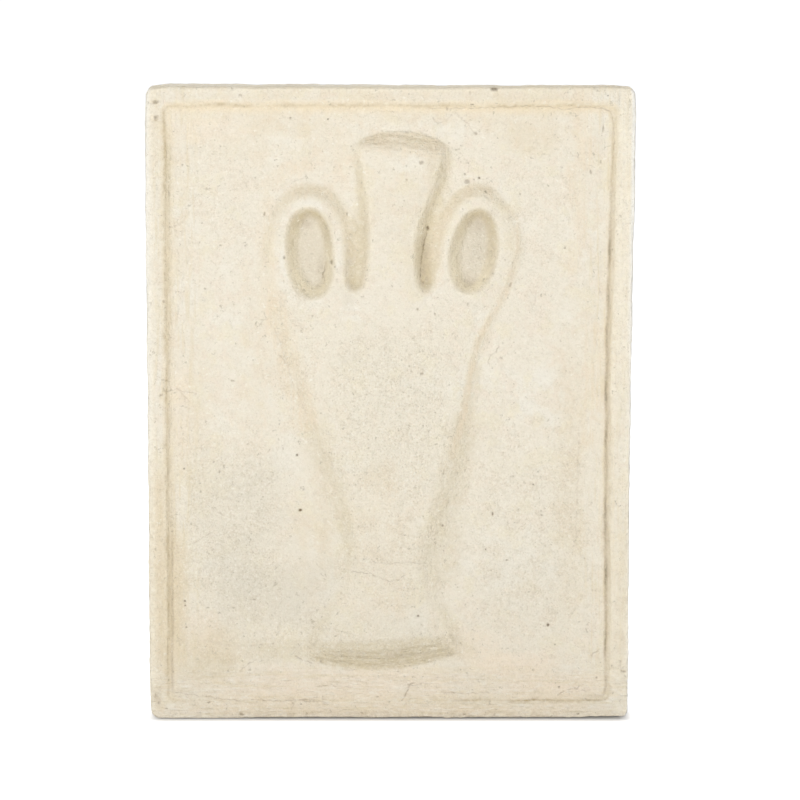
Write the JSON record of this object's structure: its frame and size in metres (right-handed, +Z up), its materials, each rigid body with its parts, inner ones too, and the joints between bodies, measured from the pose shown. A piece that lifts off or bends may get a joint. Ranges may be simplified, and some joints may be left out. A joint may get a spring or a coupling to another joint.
{
  "type": "vase relief wall sculpture",
  "caption": "Upright rectangular plaster wall panel with a low raised border and a soft two-handled vase in low relief.",
  "frame": {"origin": "middle of the flat back, where the panel meets the wall", "axes": "+Z up the panel, +Y out of its back into the wall, the carved front looks along -Y, +X to the viewer's right"},
  "size_m": [0.572, 0.0519, 0.76],
  "materials": {
    "cast_plaster": "matt cream plaster, hand-finished, pitted and stained"
  },
  "bodies": {
    "root": {"relief_panel": "cast_plaster"}
  },
  "joints": []
}
